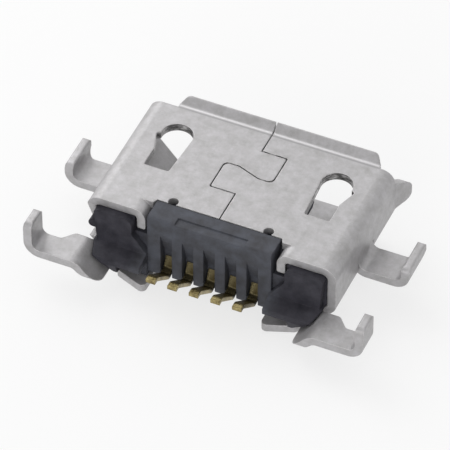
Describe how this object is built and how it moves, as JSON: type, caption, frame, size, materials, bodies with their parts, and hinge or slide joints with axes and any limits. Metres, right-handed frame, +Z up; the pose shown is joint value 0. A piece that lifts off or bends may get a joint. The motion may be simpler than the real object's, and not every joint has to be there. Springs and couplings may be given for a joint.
{
  "type": "micro usb socket",
  "caption": "Micro USB receptacle for a board cut-out: folded metal shell with upturned legs, black moulded housing and gilt contacts.",
  "frame": {"origin": "middle of the shell's underside", "axes": "+Y out of the mouth, +Z up through the seamed side, +X to the right seen from behind"},
  "size_m": [0.0104, 0.006, 0.0028],
  "materials": {
    "shell": "matt tin plate",
    "housing": "moulded, satin",
    "contacts": "gilt, satin"
  },
  "bodies": {
    "root": {"shell": "shell", "housing": "housing", "contact_1": "contacts", "contact_2": "contacts", "contact_3": "contacts", "contact_4": "contacts", "contact_5": "contacts"}
  },
  "joints": []
}
